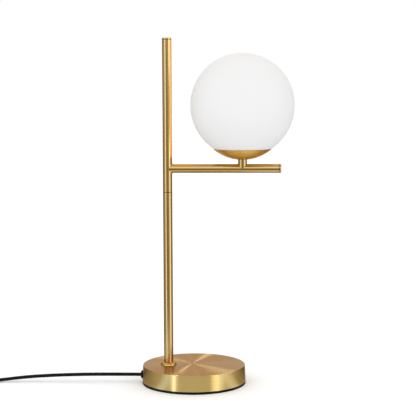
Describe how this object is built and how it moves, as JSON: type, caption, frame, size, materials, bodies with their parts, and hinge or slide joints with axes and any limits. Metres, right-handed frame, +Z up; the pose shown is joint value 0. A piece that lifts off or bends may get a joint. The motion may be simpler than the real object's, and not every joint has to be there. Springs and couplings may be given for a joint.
{
  "type": "table lamp",
  "caption": "Table lamp: round weighted base, slim offset post, level arm and an opal glass globe on a shallow cup, with a cord, switch and plug.",
  "frame": {"origin": "middle of the round base's underside, on the table", "axes": "+X along the arm towards the globe, +Z up; the cord leaves the base towards -X"},
  "size_m": [0.634, 0.1567, 0.503],
  "materials": {
    "satin_brass_cover": "satin, radially brushed on top and brushed round the side",
    "satin_brass_tube": "satin, fine lengthwise brushing",
    "satin_brass_spun": "satin, spun",
    "opal_glass": "opal white, smooth",
    "black_pad": "matt, fine grain",
    "cast_iron": "rough as cast",
    "zinc_steel": "zinc plated",
    "spring_steel": "spring steel, bright",
    "black_cord": "black PVC, slightly glossy",
    "black_plastic": "moulded, fine texture",
    "clamp_plastic": "nylon",
    "clear_seat": "silicone",
    "ceramic": "glazed white",
    "copper_spring": "bright strip",
    "bulb_white": "moulded white",
    "bulb_frost": "frosted",
    "nickel_pin": "nickel plated",
    "brown_wire": "insulated wire",
    "blue_wire": "insulated wire"
  },
  "bodies": {
    "lamp": {"base_cover": "satin_brass_cover", "lower_post": "satin_brass_tube", "upper_post": "satin_brass_tube", "post_cap": "satin_brass_tube", "arm_tube": "satin_brass_tube", "arm_cap": "satin_brass_tube", "arm_weld": "satin_brass_tube", "cup_stem": "satin_brass_tube", "cup": "satin_brass_spun", "post_collar": "satin_brass_spun", "base_pad": "black_pad", "base_weight": "cast_iron", "base_nipple": "zinc_steel", "base_washer": "zinc_steel", "base_lock_washer": "zinc_steel", "base_nut": "zinc_steel", "post_stud": "zinc_steel", "cup_nipple": "zinc_steel", "cup_nut": "zinc_steel", "bracket_nut": "zinc_steel", "holder_bracket": "zinc_steel", "cord_clamp_screws": "zinc_steel", "holder_screws": "zinc_steel", "switch_screws": "zinc_steel", "switch_pivot": "zinc_steel", "post_foot_bush": "zinc_steel", "lower_post_bush": "zinc_steel", "upper_post_bush": "zinc_steel", "globe_clips": "spring_steel", "base_cord": "black_cord", "cord_lamp_side": "black_cord", "cord_switch_side": "black_cord", "cord_coil": "black_cord", "cord_plug_side": "black_cord", "cord_grommet": "black_plastic", "switch_base": "black_plastic", "switch_cover": "black_plastic", "plug_body": "black_plastic", "plug_relief": "black_plastic", "cord_tie": "black_plastic", "cord_clamp": "clamp_plastic", "globe_seat": "clear_seat", "holder_body": "ceramic", "holder_contacts": "copper_spring", "switch_contacts": "copper_spring", "plug_pins": "nickel_pin", "wire_live": "brown_wire", "wire_neutral": "blue_wire"},
    "globe": {"globe": "opal_glass"},
    "bulb": {"bulb_base": "bulb_white", "bulb_cover": "bulb_frost", "bulb_core": "bulb_white", "bulb_pins": "nickel_pin"},
    "rocker": {"switch_rocker": "black_plastic"}
  },
  "joints": [
    {"name": "globe_lift", "type": "slide", "parent": "lamp", "child": "globe", "axis": [0, 0, 1], "range_m": [0, 0.075]},
    {"name": "bulb_pull", "type": "slide", "parent": "lamp", "child": "bulb", "axis": [0, 0, 1], "range_m": [0, 0.0135]},
    {"name": "switch_rocker_tilt", "type": "hinge", "parent": "lamp", "child": "rocker", "pos_m": [-0.374, -0.017, 0.0125], "axis": [0, 1, 0], "range_deg": [0, 18]}
  ]
}
